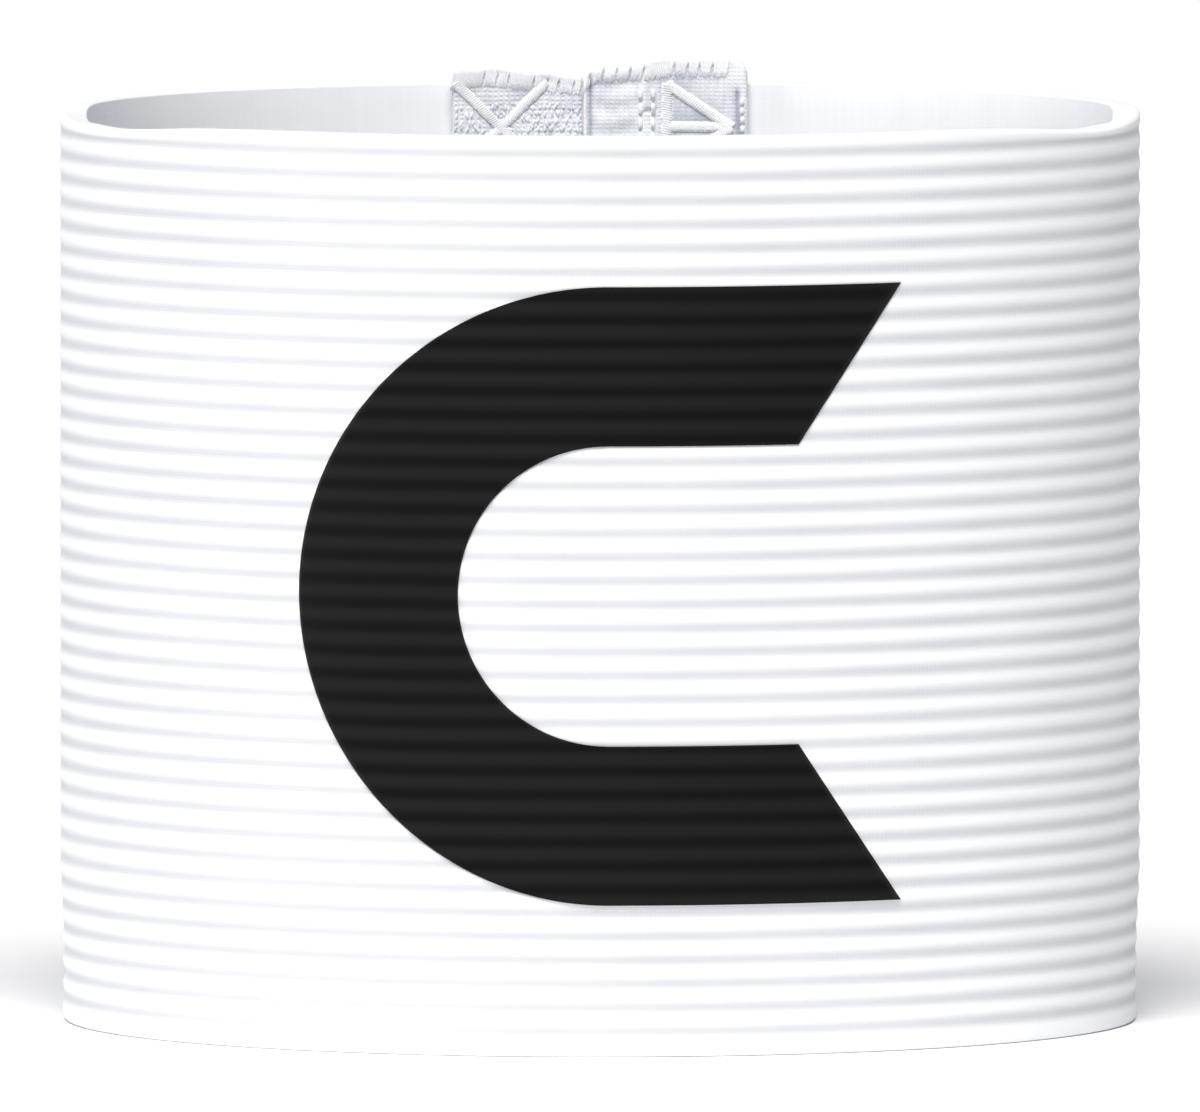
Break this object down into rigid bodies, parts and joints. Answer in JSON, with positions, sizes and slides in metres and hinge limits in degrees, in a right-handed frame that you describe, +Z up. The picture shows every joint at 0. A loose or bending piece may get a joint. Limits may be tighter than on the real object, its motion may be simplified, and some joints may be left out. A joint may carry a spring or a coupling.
{
  "type": "captain armband",
  "caption": "Loop of thick white ribbed elastic webbing worn round the upper arm, with a large black letter C on the front and a hook-and-loop closure inside the back.",
  "frame": {"origin": "centre of the loop, in the plane of the lower rim that it stands on", "axes": "+Z up along the arm, -Y out of the front, where the letter is, +X to the right as seen from the front"},
  "size_m": [0.0948, 0.0952, 0.0824],
  "materials": {
    "ribbed_webbing": "matte white polyester yarn woven over rubber, with raised ribs",
    "letter_film": "matt black film pressed on the ribs",
    "loop_tape": "brushed white loop pile on woven tape",
    "hook_tape": "white woven tape, hooks on its far side"
  },
  "bodies": {
    "root": {"elastic_band": "ribbed_webbing", "captain_letter": "letter_film", "loop_strip": "loop_tape", "hook_strip": "hook_tape"}
  },
  "joints": []
}
